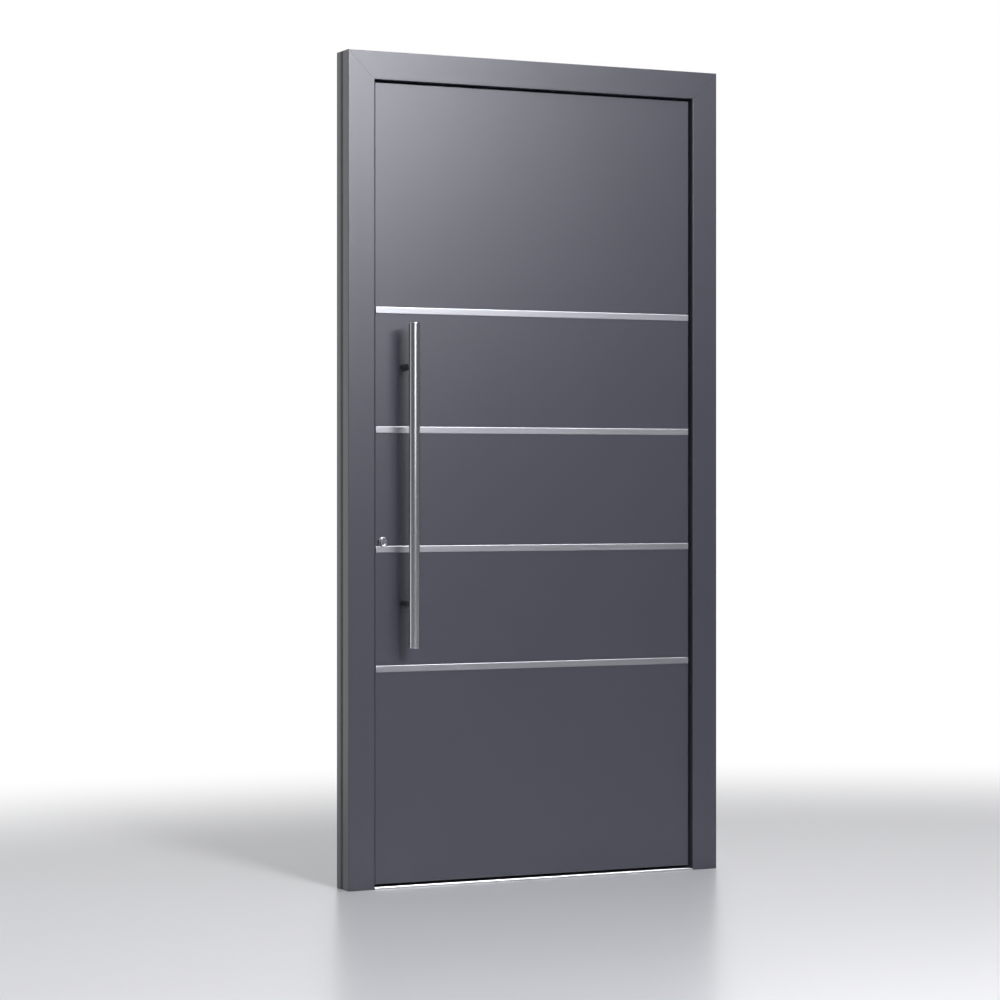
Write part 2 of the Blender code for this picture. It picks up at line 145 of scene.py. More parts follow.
# Width of rounded edges
PROFILE_ROUNDING = 0.0007
BAR_ROUNDING = 0.0004
SHEET_ROUNDING = 0.0003
STRIP_ROUNDING = 0.0014
RING_ROUNDING = 0.0003
PULL_ROUNDING = 0.0006
ROSETTE_ROUNDING = 0.0008
LEVER_ROUNDING = 0.0040
COLLAR_ROUNDING = 0.0006
TURN_ROUNDING = 0.0007
HINGE_ROUNDING = 0.0006
HINGE_CAP_ROUNDING = 0.0005

# Screws: radius and height of the head
SILL_SCREW = (0.0040, 0.0005)
PLATE_SCREW = (0.0042, 0.0006)
POST_SCREW = (0.0026, 0.0004)
HINGE_SCREW = (0.0046, 0.0009)
SOCKET_LOBES = 6
LOBE = 0.14
SCREW_LEVELS = (           # share of the radius, share of the height, depth of the lobes
    (1.00, 0.00, 0.0), (1.00, 0.55, 0.0), (0.96, 0.85, 0.0), (0.86, 1.00, 0.0),
    (0.46, 1.00, LOBE), (0.44, 0.10, LOBE),
)
PLATE_SCREW_INSET = 0.012
POST_SCREW_INSET = 0.012
HINGE_SCREW_REACH = 0.032
HINGE_SCREW_PITCH = 0.024
SILL_SCREW_FIRST = -0.45
SILL_SCREW_PITCH = 0.30
SILL_SCREWS = 4

# Seal lips: across from the root and back from the stop
LIP_PATH = (
    (0.0012, 0.0), (0.0020, 0.0020), (0.0040, 0.0037), (0.0070, 0.0043), (0.0105, 0.0043),
    (0.0135, 0.0040),
)
LIP_THICKNESS = 0.0010
LIP_CREASE = radians(30)

# Lips under the leaf: out from the seal's middle and up from the foot of its body
FOOT_PATH = ((0.0030, 0.0), (0.0034, -0.0022), (0.0048, -0.0044))
FOOT_RISE = 0.0016
FOOT_REACH = 0.0068
FOOT_GAP = 0.0010          # from their tips to the sill
FOOT_THICKNESS = 0.0011

# Anchor caps and sill: metres up or along the frame
CAP_PROFILE = (            # radius and rise
    (0, 0), (0.0058, 0), (0.0058, 0.0006), (0.0050, 0.0011), (0.0022, 0.0011), (0.0018, 0.0008),
    (0, 0.0008),
)
CAP_FIRST = 0.30
CAP_PITCH = 0.60
CAPS = 4
NOSE_LEAN = 0.0004
RIB_PROFILE = ((-0.0008, 0), (-0.0004, 0.0004), (0.0004, 0.0004), (0.0008, 0))
RIB_INSET = 0.004
RIB_FIRST = 0.0060
RIB_PITCH = 0.0030
RIBS = 3

# Lock
RING_CHAMFER = 0.0011
RING_CHAMFER_DEPTH = 0.0012
RING_FACE = 0.0026         # from the rim to the dish
DISH_DEPTH = 0.0018
DISH_FLOOR = 0.0006
KEYWAY = (
    (-0.0013, -0.0043), (0.0013, -0.0043), (0.0013, -0.0022), (0.0005, -0.0014), (0.0005, 0.0002),
    (0.0013, 0.0010), (0.0013, 0.0043), (-0.0013, 0.0043), (-0.0013, 0.0026), (-0.0005, 0.0018),
    (-0.0005, -0.0004), (-0.0013, -0.0012),
)
KEYWAY_DEPTH = 0.0036

# Inside furniture
ROSETTE_WALL = 0.0030
ROSETTE_SHOULDER = 0.0022
ROSETTE_CROWN = 0.0004
ROSETTE_FLAT = 0.62        # share of the radius
LEVER_BEND = 0.016
BEND_STEPS = 20
COLLAR_GAP = 0.0001
COLLAR_WALL = 0.0030
COLLAR_HEIGHT = 0.0050

# Strips and hinges: barrel and flag as in the solid hinges
STRIPS = (1, 2, 3, 4)
HINGES = (1, 2, 3)
BARREL_RADIUS = 0.011
FLAG_THICKNESS = 0.008
HINGE_DOME = (             # radius and rise
    (0, 0), (BARREL_RADIUS - 0.0006, 0), (BARREL_RADIUS - 0.0006, 0.0010),
    (BARREL_RADIUS * 0.7, 0.0026), (0, 0.0032),
)
WASHER_BORE = 0.0065
WASHER_RIM = 0.0004        # past the barrel
WASHER_THICKNESS = 0.0004
WASHER_DROP = 0.0005       # under the leaf's half


# Node helpers

class Nodes:
    """Short names for building a tree of nodes."""

    def __init__(self, tree):
        self.tree = tree

    def add(self, kind, **values):
        node = self.tree.nodes.new(kind)
        for key, value in values.items():
            setattr(node, key, value)
        return node

    def link(self, out, into):
        self.tree.links.new(out, into)

    def feed(self, socket, value):
        """A link, a colour or a number."""
        if isinstance(value, bpy.types.NodeSocket):
            self.link(value, socket)
        elif socket.type == "RGBA":
            socket.default_value = (*value, 1)
        else:
            socket.default_value = value

    def where(self, scale=(1, 1, 1)):
        """Object coordinates, stretched."""
        place = self.add("ShaderNodeTexCoord")
        stretch = self.add("ShaderNodeMapping")
        stretch.inputs["Scale"].default_value = scale
        self.link(place.outputs["Object"], stretch.inputs["Vector"])
        return stretch.outputs["Vector"]

    def noise(self, vector, scale, detail, rough=0.5):
        node = self.add("ShaderNodeTexNoise")
        node.inputs["Scale"].default_value = scale
        node.inputs["Detail"].default_value = detail
        node.inputs["Roughness"].default_value = rough
        self.link(vector, node.inputs["Vector"])
        return node.outputs["Fac"]

    def ramp(self, value, reach, low=0.0, high=1.0, curve="LINEAR"):
        """A value taken from its reach to low to high."""
        node = self.add("ShaderNodeMapRange", interpolation_type=curve)
        node.inputs["From Min"].default_value = reach[0]
        node.inputs["From Max"].default_value = reach[1]
        node.inputs["To Min"].default_value = low
        node.inputs["To Max"].default_value = high
        self.link(value, node.inputs["Value"])
        return node.outputs["Result"]

    def spread(self, noise, low=0.0, high=1.0):
        return self.ramp(noise, NOISE_REACH, low, high)

    def tint(self, value, dark, light):
        node = self.add("ShaderNodeMix", data_type="RGBA")
        self.feed(node.inputs["A"], dark)
        self.feed(node.inputs["B"], light)
        self.link(value, node.inputs["Factor"])
        return node.outputs["Result"]

    def bump(self, height, distance, strength, under=None):
        node = self.add("ShaderNodeBump")
        node.inputs["Distance"].default_value = distance
        node.inputs["Strength"].default_value = strength
        self.link(height, node.inputs["Height"])
        if under is not None:
            self.link(under, node.inputs["Normal"])
        return node.outputs["Normal"]

    def math(self, operation, *values):
        node = self.add("ShaderNodeMath", operation=operation)
        for socket, value in zip(node.inputs, values):
            self.feed(socket, value)
        return node.outputs["Value"]

    def depth(self, vector):
        """How far back a vector goes."""
        node = self.add("ShaderNodeSeparateXYZ")
        self.link(vector, node.inputs["Vector"])
        return node.outputs["Y"]

    def shows_white(self, path, behind):
        """1 to the camera, and the share that is behind the door to polished surfaces."""
        seen, gloss, glass = [
            path.outputs[f"Is {kind} Ray"] for kind in ("Camera", "Glossy", "Transmission")]
        mirrored = self.math("MULTIPLY", self.math("MAXIMUM", gloss, glass), behind)
        return self.math("MAXIMUM", seen, mirrored)

    def mix(self, share, first, second):
        node = self.add("ShaderNodeMixShader")
        self.link(share, node.inputs["Fac"])
        self.link(first.outputs[0], node.inputs[1])
        self.link(second.outputs[0], node.inputs[2])
        return node.outputs["Shader"]


class Finish(Nodes):
    """A new material's tree and its shader."""

    def __init__(self, name):
        self.material = bpy.data.materials.new(name)
        self.material.use_nodes = True
        super().__init__(self.material.node_tree)
        self.shader = self.tree.nodes["Principled BSDF"]

    def set(self, **values):
        names = {
            "color": "Base Color", "roughness": "Roughness", "metallic": "Metallic",
            "normal": "Normal", "specular": "Specular IOR Level",
        }
        for key, value in values.items():
            self.feed(self.shader.inputs[names[key]], value)
        return self.material


def shade(color, factor):
    return tuple(part * factor for part in color)


# Finishes

def powder_coat(name, color):
    """Fine satin powder coat: a soft orange peel under a fine grain."""
    n = Finish(name)
    place = n.where()
    grain = n.noise(place, scale=2600, detail=1.0)
    peel = n.noise(place, scale=420, detail=2.0)
    drift = n.noise(place, scale=2.2, detail=3.0)
    normal = n.bump(peel, distance=0.00005, strength=0.35)
    normal = n.bump(grain, distance=0.00003, strength=0.45, under=normal)
    return n.set(
        color=n.tint(n.spread(drift), shade(color, 0.97), shade(color, 1.03)),
        roughness=n.spread(peel, 0.31, 0.36),
        specular=0.60,
        normal=normal)


def brushed(name, color, axis, roughness, stretch_of_light, wear):
    """Steel brushed along X, or round a bar along Z, where lights stretch up and down."""
    n = Finish(name)
    stretch = {"X": (0.02, 1, 1), "Z": (0.02, 0.02, 1)}[axis]
    line = n.noise(n.where(stretch), scale=2600, detail=3.0, rough=0.6)
    broad = n.noise(n.where(shade(stretch, 0.35)), scale=700, detail=2.0)
    turn = n.add("ShaderNodeTangent", direction_type="RADIAL", axis=axis)
    n.link(turn.outputs["Tangent"], n.shader.inputs["Tangent"])
    n.shader.inputs["Anisotropic"].default_value = stretch_of_light
    n.shader.inputs["Anisotropic Rotation"].default_value = {"X": 0.0, "Z": 0.25}[axis]
    return n.set(
        color=n.tint(n.spread(line), shade(color, 0.95), shade(color, 1.04)),
        metallic=1.0,
        roughness=n.spread(broad, roughness * (1 - wear), roughness * (1 + wear)),
        normal=n.bump(line, distance=0.00001, strength=wear * 3))


def satin_metal(name, color, roughness):
    """Cast or turned metal with a faint cloud and a fine grain."""
    n = Finish(name)
    place = n.where()
    cloud = n.noise(place, scale=90, detail=3.0)
    fine = n.noise(place, scale=2400, detail=2.0)
    return n.set(
        color=n.tint(n.spread(cloud), shade(color, 0.94), shade(color, 1.04)),
        metallic=1.0,
        roughness=n.spread(cloud, roughness - 0.03, roughness + 0.05),
        normal=n.bump(fine, distance=0.00002, strength=0.20))


def moulded(name, color, roughness, grain_scale=1500, depth=0.00004):
    """Plastic, rubber, foam and black coat: a fine matt grain."""
    n = Finish(name)
    place = n.where()
    grain = n.noise(place, grain_scale, detail=2.0)
    cloud = n.noise(place, scale=30, detail=2.0)
    return n.set(
        color=n.tint(n.spread(cloud), shade(color, 0.85), shade(color, 1.15)),
        roughness=n.spread(cloud, roughness - 0.05, roughness + 0.05),
        normal=n.bump(grain, depth, strength=0.4))


def make_finishes():
    return {
        "frame_paint": powder_coat("frame powder coat", PAINT),
        "leaf_paint": powder_coat("leaf powder coat", PAINT),
        "strip_steel": brushed("strip steel", STEEL, "X", 0.35, stretch_of_light=0.0, wear=0.06),
        "bar_steel": brushed("bar steel", BAR_STEEL, "Z", 0.15, stretch_of_light=0.50, wear=0.01),
        "lock_steel": satin_metal("lock steel", STEEL, 0.24),
        "hinge_steel": satin_metal("hinge steel", STEEL, 0.30),
        "post_black": moulded("post black", BLACK_COAT, 0.42),
        "sill_metal": satin_metal("sill metal", SILL_METAL, 0.30),
        "plastic": moulded("frame plastic", PLASTIC, 0.60),
        "foam": moulded("leaf foam", FOAM, 0.90, grain_scale=500, depth=0.0002),
        "seal": moulded("seal rubber", RUBBER, 0.70),
    }


LOOKS = make_finishes()


def paint_nodes():
    for entry in frame["record"]["subparts"]:
        made = NODES[entry["node"]]
        made.data.materials.clear()
        made.data.materials.append(LOOKS[entry["material_slot"]])


# Shapes

def spot(a, b, along, axis):
    """A point from two places across an axis and one along it."""
    return {"X": (along, a, b), "Y": (a, along, b), "Z": (a, b, along)}[axis]


def bridge(shape, near, far):
    """Side faces between two loops of points, either of which may be a single point."""
    sides = max(len(near), len(far))
    for i in range(sides):
        j = (i + 1) % sides
        corners = (near[i % len(near)], near[j % len(near)], far[j % len(far)], far[i % len(far)])
        shape.faces.new(list(dict.fromkeys(corners)))


def skin(loops):
    """A solid with side faces from each loop of points to the next, and a face on either end."""
    shape = bmesh.new()
    rings = [[shape.verts.new(point) for point in loop] for loop in loops]
    for near, far in zip(rings, rings[1:]):
        bridge(shape, near, far)
    shape.faces.new(rings[0])
    shape.faces.new(rings[-1])
    bmesh.ops.recalc_face_normals(shape, faces=shape.faces)
    return shape


def prism(outline, start, end, axis):
    """A solid on a flat outline."""
    return skin([[spot(a, b, along, axis) for a, b in outline] for along in (start, end)])


def turned(profile, centre, axis, sides=SIDES, ring=False):
    """A shape turned round an axis; the profile's points are (radius, place along the axis)."""
    shape = bmesh.new()
    angles = [2 * pi * i / sides for i in range(sides)]
    loops = []
    for radius, along in profile:
        points = [spot(radius * cos(angle), radius * sin(angle), along, axis) for angle in angles]
        if radius == 0:
            points = [spot(0, 0, along, axis)]
        loops.append([shape.verts.new(point) for point in points])
    pairs = list(zip(loops, loops[1:]))
    if ring:
        pairs.append((loops[-1], loops[0]))
    for near, far in pairs:
        bridge(shape, near, far)
    bmesh.ops.recalc_face_normals(shape, faces=shape.faces)
    bmesh.ops.translate(shape, verts=shape.verts, vec=centre)
    return shape


def copy_of(node):
    """A node's own shape, its triangles merged into whole faces."""
    shape = bmesh.new()
    shape.from_mesh(NODES[node].data)
    bmesh.ops.remove_doubles(shape, verts=shape.verts, dist=MERGE)
    bmesh.ops.dissolve_limit(shape, angle_limit=FLAT, verts=shape.verts, edges=shape.edges)
    return shape


def plain_mesh(name, shape):
    data = bpy.data.meshes.new(name)
    shape.to_mesh(data)
    shape.free()
    return data


def settled(made):
    """A plain mesh of an object with its modifiers; the object goes."""
    bpy.context.view_layer.update()
    graph = bpy.context.evaluated_depsgraph_get()
    data = bpy.data.meshes.new_from_object(
        made.evaluated_get(graph), preserve_all_data_layers=True, depsgraph=graph)
    bpy.data.objects.remove(made)
    return data


def placed(name, data):
    """A new object in the scene."""
    made = bpy.data.objects.new(name, data)
    bpy.context.scene.collection.objects.link(made)
    return made


def rounded(name, shape, width, segments=3, pick=None, cutter=None):
    """A mesh with its sharp outer edges rounded, or the picked ones, and then cut."""
    weight = shape.edges.layers.float.new("bevel_weight_edge")
    for edge in shape.edges:
        if edge.calc_face_angle_signed(0) > SHARP and (pick is None or pick(edge)):
            edge[weight] = 1.0
    made = placed(name, plain_mesh(name, shape))
    step = made.modifiers.new("rounding", "BEVEL")
    step.limit_method = "WEIGHT"
    step.width = width
    step.segments = segments
    tool = None
    if cutter is not None:
        tool = placed("cutter", plain_mesh("cutter", cutter))
        step = made.modifiers.new("cut", "BOOLEAN")
        step.operation = "DIFFERENCE"
        step.solver = "EXACT"
        step.object = tool
    data = settled(made)
    if tool is not None:
        bpy.data.objects.remove(tool)
    data.shade_smooth()
    data.set_sharp_from_angle(angle=CREASE)
    made = placed(name, data)
    step = made.modifiers.new("flat faces", "WEIGHTED_NORMAL")
    step.keep_sharp = True
    return settled(made)


def runs_along(axis):
    """Picks the edges that run along an axis."""
    place = "XYZ".index(axis)

    def pick(edge):
        run = edge.verts[1].co - edge.verts[0].co
        return abs(run[place]) > 0.99 * run.length

    return pick


def lies_at(axis, level):
    """Picks the edges that lie at one place along an axis."""
    place = "XYZ".index(axis)

    def pick(edge):
        return all(abs(corner.co[place] - level) < MERGE for corner in edge.verts)

    return pick


def round_node(node, axis):
    """A point on a round node's axis, and its radius."""
    low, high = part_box(node)
    centre = (low + high) / 2
    centre["XYZ".index(axis)] = 0
    return centre, (high.x - low.x) / 2


def soft_shaded(name, shape, crease=SHARP):
    """A mesh with smooth faces and creases where they turn sharply."""
    data = plain_mesh(name, shape)
    data.shade_smooth()
    data.set_sharp_from_angle(angle=crease)
    return data


def fit(name, data, body, slot, *stands_for):
    """A finished piece on a body, in one of the door's finishes."""
    data.name = name
    data.materials.clear()
    data.materials.append(LOOKS[slot])
    made = placed(name, data)
    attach(made, body)
    if stands_for:
        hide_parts(*stands_for)


def ease(node, body, slot, width, pick=None):
    """The node's own shape with rounded edges, which stands for it."""
    fit(f"{node}_rounded", rounded(node, copy_of(node), width, pick=pick), body, slot, node)


def ribbon(points, thickness):
    """An outline of even thickness round a path."""
    sides = ([], [])
    last = len(points) - 1
    for i, (a, b) in enumerate(points):
        before = Vector(points[max(i - 1, 0)])
        after = Vector(points[min(i + 1, last)])
        run = (after - before).normalized() * thickness / 2
        sides[0].append((a - run.y, b + run.x))
        sides[1].append((a + run.y, b - run.x))
    return sides[0] + sides[1][::-1]


# Rows of small pieces

def rows_tree():
    """Geometry Nodes: the object's own shape, copied in a line, and the line copied in rows."""
    n = Nodes(bpy.data.node_groups.new("rows of copies", "GeometryNodeTree"))
    sockets = (
        ("Shape", "NodeSocketGeometry"), ("Count", "NodeSocketInt"), ("Step", "NodeSocketVector"),
        ("Rows", "NodeSocketInt"), ("Row Step", "NodeSocketVector"), ("Start", "NodeSocketVector"),
        ("Finish", "NodeSocketMaterial"),
    )
    for name, kind in sockets:
        n.tree.interface.new_socket(name, in_out="INPUT", socket_type=kind)
    n.tree.interface.new_socket("Pieces", in_out="OUTPUT", socket_type="NodeSocketGeometry")
    given = n.add("NodeGroupInput")
    result = n.add("NodeGroupOutput")
    joined = given.outputs["Shape"]
    for count, step, start in (("Count", "Step", None), ("Rows", "Row Step", "Start")):
        line = n.add("GeometryNodeMeshLine")
        n.link(given.outputs[count], line.inputs["Count"])
        n.link(given.outputs[step], line.inputs["Offset"])
        if start is not None:
            n.link(given.outputs[start], line.inputs["Start Location"])
        copies = n.add("GeometryNodeInstanceOnPoints")
        n.link(line.outputs["Mesh"], copies.inputs["Points"])
        n.link(joined, copies.inputs["Instance"])
        joined = copies.outputs["Instances"]
    real = n.add("GeometryNodeRealizeInstances")
    n.link(joined, real.inputs["Geometry"])
    finish = n.add("GeometryNodeSetMaterial")
    n.link(real.outputs["Geometry"], finish.inputs["Geometry"])
    n.link(given.outputs["Finish"], finish.inputs["Material"])
    n.link(finish.outputs["Geometry"], result.inputs["Pieces"])
    return n.tree


ROWS = rows_tree()


def in_rows(name, data, body, slot, start, step, count, row_step=(0, 0, 0), rows=1):
    """Copies of one small mesh, made by the rows tree."""
    made = placed(name, data)
    modifier = made.modifiers.new("rows", "NODES")
    modifier.node_group = ROWS
    values = {
        "Count": count, "Step": Vector(step), "Rows": rows, "Row Step": Vector(row_step),
        "Start": Vector(start), "Finish": LOOKS[slot],
    }
    for item in ROWS.interface.items_tree:
        if item.name in values:
            modifier[item.identifier] = values[item.name]
    fit(name, settled(made), body, slot)


def screw(size, facing):
    """A low screw head with a lobed socket, its seat at the origin."""
    radius, height = size
    sides = SOCKET_LOBES * 6
    angles = [2 * pi * i / sides for i in range(sides)]
    loops = []
    for share, rise, lobe in SCREW_LEVELS:
        reaches = [radius * share * (1 + lobe * cos(SOCKET_LOBES * angle)) for angle in angles]
        loops.append([
            (reach * cos(angle), reach * sin(angle), rise * height)
            for reach, angle in zip(reaches, angles)])
    shape = skin(loops)
    turn = Vector((0, 0, 1)).rotation_difference(Vector(facing)).to_matrix()
    bmesh.ops.rotate(shape, verts=shape.verts, matrix=turn)
    return soft_shaded("screw", shape)


# Frame

def frame_bars():
    for part, axis in (("lock_jamb", "Z"), ("hinge_jamb", "Z"), ("head", "X")):
        for layer in ("outer", "inner"):
            ease(f"{part}_{layer}", "frame", "frame_paint", PROFILE_ROUNDING, runs_along(axis))


def frame_lips():
    """Soft lips from the stop to the leaf's flange on three sides, mitred at the corners."""
    left = -CAD_BOX[1][0]
    right = CAD_BOX[1][0]
    top = CAD_BOX[1][2]
    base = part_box("lock_jamb_seal")[0].x - left
    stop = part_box("lock_jamb_outer")[1].y
    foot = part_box("sill_core")[1].z + HAIR
    section = ribbon([(base + across, stop + back) for across, back in LIP_PATH], LIP_THICKNESS)
    left_foot = [(left + across, y, foot) for across, y in section]
    left_top = [(left + across, y, top - across) for across, y in section]
    right_foot = [(right - across, y, foot) for across, y in section]
    right_top = [(right - across, y, top - across) for across, y in section]
    for name, ends in (
        ("lock_jamb_lip", (left_foot, left_top)),
        ("hinge_jamb_lip", (right_foot, right_top)),
        ("head_lip", (left_top, right_top)),
    ):
        fit(name, soft_shaded(name, skin(ends), LIP_CREASE), "frame", "seal")


def anchor_caps():
    """Round caps over the frame's anchor screws, in the rebate beside the leaf's edge."""
    low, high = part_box("lock_jamb_break")
    middle = (low.y + high.y) / 2
    for side, sign in (("lock_side", 1), ("hinge_side", -1)):
        profile = [(radius, sign * rise) for radius, rise in CAP_PROFILE]
        cap = soft_shaded("anchor_cap", turned(profile, Vector(), "X", CAP_SIDES))
        in_rows(
            f"anchor_caps_{side}", cap, "frame", "plastic",
            (sign * high.x, middle, CAP_FIRST), (0, 0, CAP_PITCH), CAPS)


def sill():
    """A front rail with a slightly leaning nose and grip ribs, and screws in the rear rail."""
    low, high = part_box("sill_front")
    nose = ((low.y, low.z), (low.y + NOSE_LEAN, high.z), (high.y, high.z), (high.y, low.z))
    data = rounded("sill_front", prism(nose, low.x, high.x, "X"), BAR_ROUNDING)
    fit("sill_nose", data, "frame", "sill_metal", "sill_front")
    rib = plain_mesh("rib", prism(RIB_PROFILE, low.x + RIB_INSET, high.x - RIB_INSET, "X"))
    in_rows(
        "sill_ribs", rib, "frame", "sill_metal",
        (0, low.y + RIB_FIRST, high.z), (0, RIB_PITCH, 0), RIBS)
    ease("sill_rear", "frame", "sill_metal", BAR_ROUNDING, runs_along("X"))
    low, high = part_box("sill_rear")
    in_rows(
        "sill_screws", screw(SILL_SCREW, (0, 0, 1)), "frame", "sill_metal",
        (SILL_SCREW_FIRST, (low.y + high.y) / 2, high.z), (SILL_SCREW_PITCH, 0, 0), SILL_SCREWS)


# Lock

def lock_ring():
    """The cylinder's ring: a chamfer, a flat face and a dish round the plug."""
    low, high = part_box("cylinder_ring")
    centre, radius = round_node("cylinder_ring", "Y")
    bore = round_node("key_plug", "Y")[1] + HAIR
    floor_at = low.y + DISH_DEPTH
    profile = (
        (bore, high.y), (radius, high.y), (radius, low.y + RING_CHAMFER_DEPTH),
        (radius - RING_CHAMFER, low.y), (radius - RING_FACE, low.y),
        (bore + DISH_FLOOR, floor_at), (bore, floor_at),
    )
    data = rounded("ring", turned(profile, centre, "Y", ring=True), RING_ROUNDING)
    fit("lock_ring", data, "leaf", "lock_steel", "cylinder_ring")


def key_plug():
    """The plug with its keyway, which turns."""
    low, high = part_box("key_plug")
    centre, radius = round_node("key_plug", "Y")
    outline = [(centre.x + a, centre.z + b) for a, b in KEYWAY]
    keyway = prism(outline, low.y - CUT_MARGIN, low.y + KEYWAY_DEPTH, "Y")
    data = rounded("plug", rod(low.y, high.y, radius, centre, "Y"), BAR_ROUNDING, cutter=keyway)
    fit("keyed_plug", data, "key_plug", "lock_steel", "key_plug")


def rod(start, end, radius, centre, axis):
    """A plain round bar."""
    return turned(((0, start), (radius, start), (radius, end), (0, end)), centre, axis)


def lock_edge():
    """Faceplate, bolts and strike with rounded edges, and their screws."""
    for node in ("lock_faceplate", "latch_bolt", "dead_bolt"):
        ease(node, "leaf", "lock_steel", BAR_ROUNDING)
    ease("strike_box", "frame", "lock_steel", BAR_ROUNDING)
    low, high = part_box("lock_faceplate")
    plate_screws("faceplate_screws", "leaf", low, high, low.x, (-1, 0, 0))
    low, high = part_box("strike_box")
    plate_screws("strike_screws", "frame", low, high, high.x, (1, 0, 0))


def plate_screws(name, body, low, high, face, facing):
    """A screw at either end of an upright plate."""
    start = (face, (low.y + high.y) / 2, low.z + PLATE_SCREW_INSET)
    step = (0, 0, high.z - low.z - 2 * PLATE_SCREW_INSET)
    in_rows(name, screw(PLATE_SCREW, facing), body, "lock_steel", start, step, 2)


# Leaf

def leaf_sheets():
    for node in ("outer_skin", "inner_skin"):
        ease(node, "leaf", "leaf_paint", SHEET_ROUNDING)
    for node, axis in (("lock_stile", "Z"), ("hinge_stile", "Z"), ("top_rail", "X")):
        ease(node, "leaf", "leaf_paint", BAR_ROUNDING, runs_along(axis))


def strips():
    """Flat bars with rounded front edges; one that meets the lock ring is notched round it."""
    ring, radius = round_node("cylinder_ring", "Y")
    reach = radius + HAIR
    for number in STRIPS:
        node = f"strip_{number}"
        low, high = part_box(node)
        outline = ((low.x, low.z), (high.x, low.z), (high.x, high.z), (low.x, high.z))
        notch = None
        if abs((low.z + high.z) / 2 - ring.z) < reach:
            notch = rod(low.y - reach, high.y + reach, reach, ring, "Y")
        data = rounded(
            node, prism(outline, low.y, high.y, "Y"), STRIP_ROUNDING, 6, lies_at("Y", low.y), notch)
        fit(f"{node}_bar", data, "leaf", "strip_steel", node)


def bottom_lips():
    """The seal under the leaf: its rooted body and two soft lips that reach for the sill."""
    low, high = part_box("bottom_seal")
    middle = (low.y + high.y) / 2
    half = (high.y - low.y) / 2
    base = low.z + FOOT_RISE
    path = [(out, base + up) for out, up in FOOT_PATH]
    path.append((FOOT_REACH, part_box("sill_core")[1].z + FOOT_GAP))
    inner = [(middle + out, z) for out, z in path]
    outer = [(middle - out, z) for out, z in path]
    outline = [(middle - half, high.z), (middle + half, high.z), (middle + half, base)]
    outline += ribbon(inner, FOOT_THICKNESS) + ribbon(outer, FOOT_THICKNESS)
    outline.append((middle - half, base))
    data = soft_shaded("bottom_lips", prism(outline, low.x, high.x, "X"), LIP_CREASE)
    fit("bottom_lips", data, "leaf", "seal", "bottom_seal")


# Pull bar

def pull_bar():
    """A steel bar with slightly rounded ends."""
    low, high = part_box("pull_bar")
    centre, radius = round_node("pull_bar", "Z")
    data = rounded("bar", rod(low.z, high.z, radius, centre, "Z"), PULL_ROUNDING, 4)
    fit("bar_tube", data, "leaf", "bar_steel", "pull_bar")
    for node in ("upper_post", "lower_post"):
        post(node, centre, radius + HAIR)


def post(node, bar, reach):
    """A round rod that ends in a hollow round the bar."""
    low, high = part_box(node)
    axis, radius = round_node(node, "Y")
    saddle = rod(axis.z - radius * 2, axis.z + radius * 2, reach, bar, "Z")
    data = rounded(node, rod(low.y, high.y, radius, axis, "Y"), BAR_ROUNDING, 2, cutter=saddle)
    fit(f"{node}_rod", data, "leaf", "post_black", node)


def post_screws():
    """A grub screw under each post, near the leaf."""
    low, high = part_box("lower_post")
    start = ((low.x + high.x) / 2, high.y - POST_SCREW_INSET, low.z)
    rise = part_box("upper_post")[0].z - low.z
    grub = screw(POST_SCREW, (0, 0, -1))
    in_rows("post_screws", grub, "leaf", "lock_steel", start, (0, 0, rise), 2)


# Inside furniture

def rosettes():
    """Slightly domed covers round the lever and the thumb turn."""
    for node in ("lever_rosette", "turn_rosette"):
        low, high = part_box(node)
        centre, radius = round_node(node, "Y")
        profile = (
            (0, low.y), (radius, low.y), (radius, high.y - ROSETTE_WALL),
            (radius - ROSETTE_SHOULDER, high.y - ROSETTE_CROWN), (radius * ROSETTE_FLAT, high.y),
            (0, high.y),
        )
        data = rounded(node, turned(profile, centre, "Y"), ROSETTE_ROUNDING)
        fit(f"{node}_cover", data, "leaf", "lock_steel", node)


def lever():
    """A round lever with an even bend, a domed end and a collar at its neck."""
    low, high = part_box("lever_handle")
    radius = (high.z - low.z) / 2
    x = low.x + radius
    z = (low.z + high.z) / 2
    far = high.y - radius
    path = [Vector((x, low.y, z)), Vector((x, (low.y + far - LEVER_BEND) / 2, z))]
    for i in range(BEND_STEPS + 1):
        angle = pi / 2 * i / BEND_STEPS
        across = LEVER_BEND * (1 - cos(angle))
        short = LEVER_BEND * (1 - sin(angle))
        path.append(Vector((x + across, far - short, z)))
    path.append(Vector((high.x, far, z)))
    data = rounded("lever", level_bar(path, radius), LEVER_ROUNDING, 6, lies_at("X", high.x))
    fit("lever_bar", data, "leaf", "lock_steel", "lever_handle")
    inner = radius + COLLAR_GAP
    outer = radius + COLLAR_WALL
    top = low.y + COLLAR_HEIGHT
    profile = ((inner, low.y), (outer, low.y), (outer, top), (inner, top))
    collar = turned(profile, Vector((x, 0, z)), "Y", ring=True)
    fit("lever_collar", rounded("collar", collar, COLLAR_ROUNDING), "leaf", "lock_steel")


def level_bar(path, radius):
    """A round bar along a path that stays level."""
    up = Vector((0, 0, 1))
    last = len(path) - 1
    angles = [2 * pi * i / SMALL_SIDES for i in range(SMALL_SIDES)]
    loops = []
    for i, point in enumerate(path):
        run = (path[min(i + 1, last)] - path[max(i - 1, 0)]).normalized()
        across = run.cross(up)
        loops.append([point + radius * (cos(angle) * across + sin(angle) * up) for angle in angles])
    return skin(loops)


# Hinges

